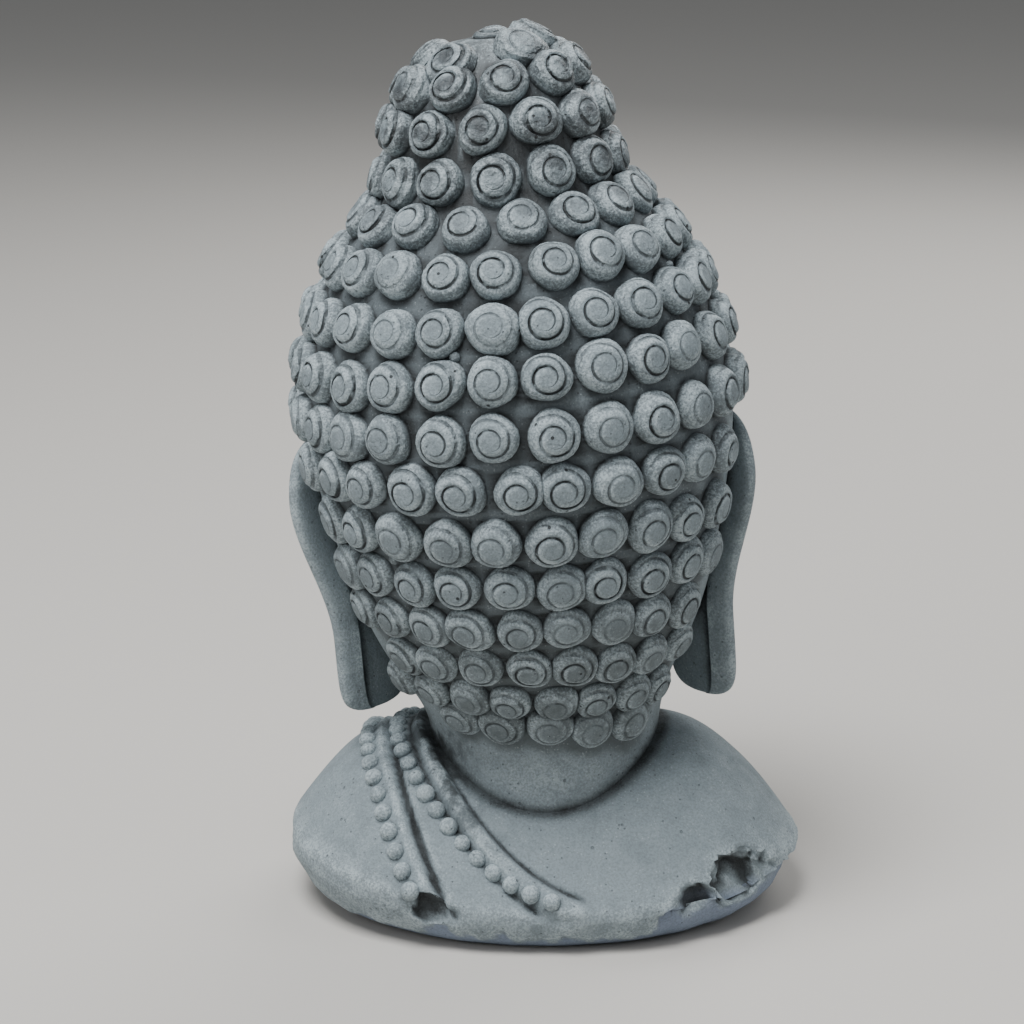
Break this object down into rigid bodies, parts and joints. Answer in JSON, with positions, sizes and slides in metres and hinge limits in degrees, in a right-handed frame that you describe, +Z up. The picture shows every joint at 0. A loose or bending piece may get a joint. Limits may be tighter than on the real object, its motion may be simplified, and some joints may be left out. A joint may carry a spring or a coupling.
{
  "type": "stone buddha head",
  "caption": "Small cast-stone bust: a head of snail curls with a tall crown bump, long ear lobes and a calm face, on low rounded shoulders with a beaded robe.",
  "frame": {"origin": "centre of the bounding box in plan, on the flat underside", "axes": "+Z up, the face looks toward -Y, +X toward the figure's left shoulder, which the robe covers"},
  "size_m": [0.148, 0.1334, 0.2515],
  "materials": {
    "cast_stone": "grey cast stone with a dark wash in the hollows and pale rubbed high places"
  },
  "bodies": {
    "root": {"stone_bust": "cast_stone"}
  },
  "joints": []
}
